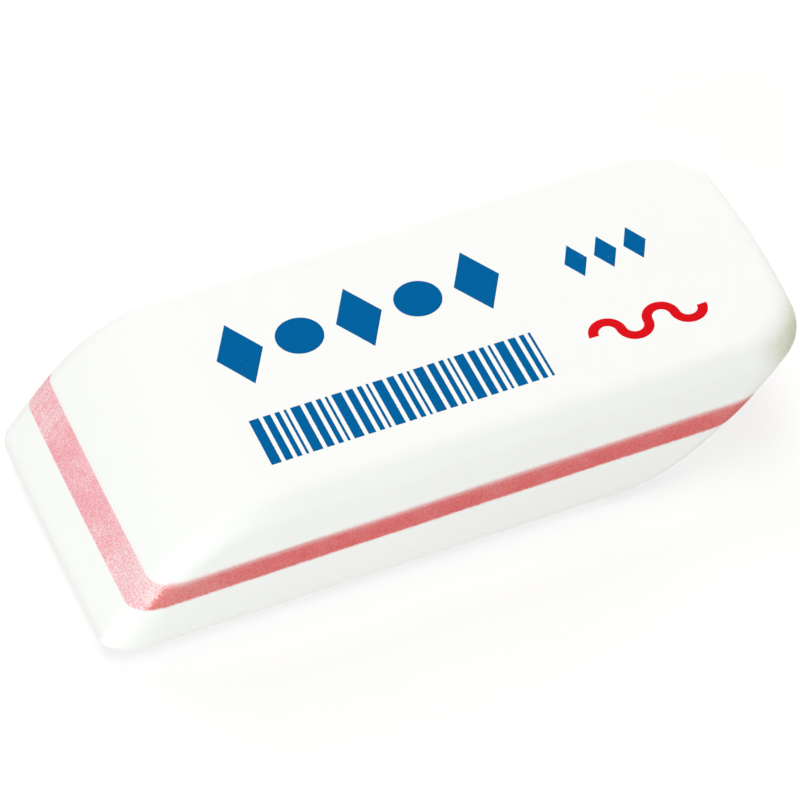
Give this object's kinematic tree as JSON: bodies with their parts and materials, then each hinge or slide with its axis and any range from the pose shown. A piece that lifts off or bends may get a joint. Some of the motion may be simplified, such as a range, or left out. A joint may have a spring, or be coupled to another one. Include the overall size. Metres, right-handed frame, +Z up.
{
  "type": "rubber eraser",
  "caption": "Bevelled desk eraser of three bonded layers, white over a coral core over white, with rounded edges and a plain printed pattern on top",
  "frame": {"origin": "middle of the flat base, under the middle of the overall length and width", "axes": "+X along the length towards the end that is cut under, +Y across the width, +Z up out of the printed face"},
  "size_m": [0.059, 0.0248, 0.012],
  "materials": {
    "white_rubber": "matt, smooth white vinyl",
    "coral_rubber": "matt coral vinyl, paler and speckled where it is cut across",
    "blue_ink": "flat printed ink",
    "red_ink": "flat printed ink"
  },
  "bodies": {
    "root": {"lower_layer": "white_rubber", "core_layer": "coral_rubber", "upper_layer": "white_rubber", "bar_print": "blue_ink", "bold_print": "blue_ink", "diamond_print": "blue_ink", "wave_print": "red_ink"}
  },
  "joints": []
}
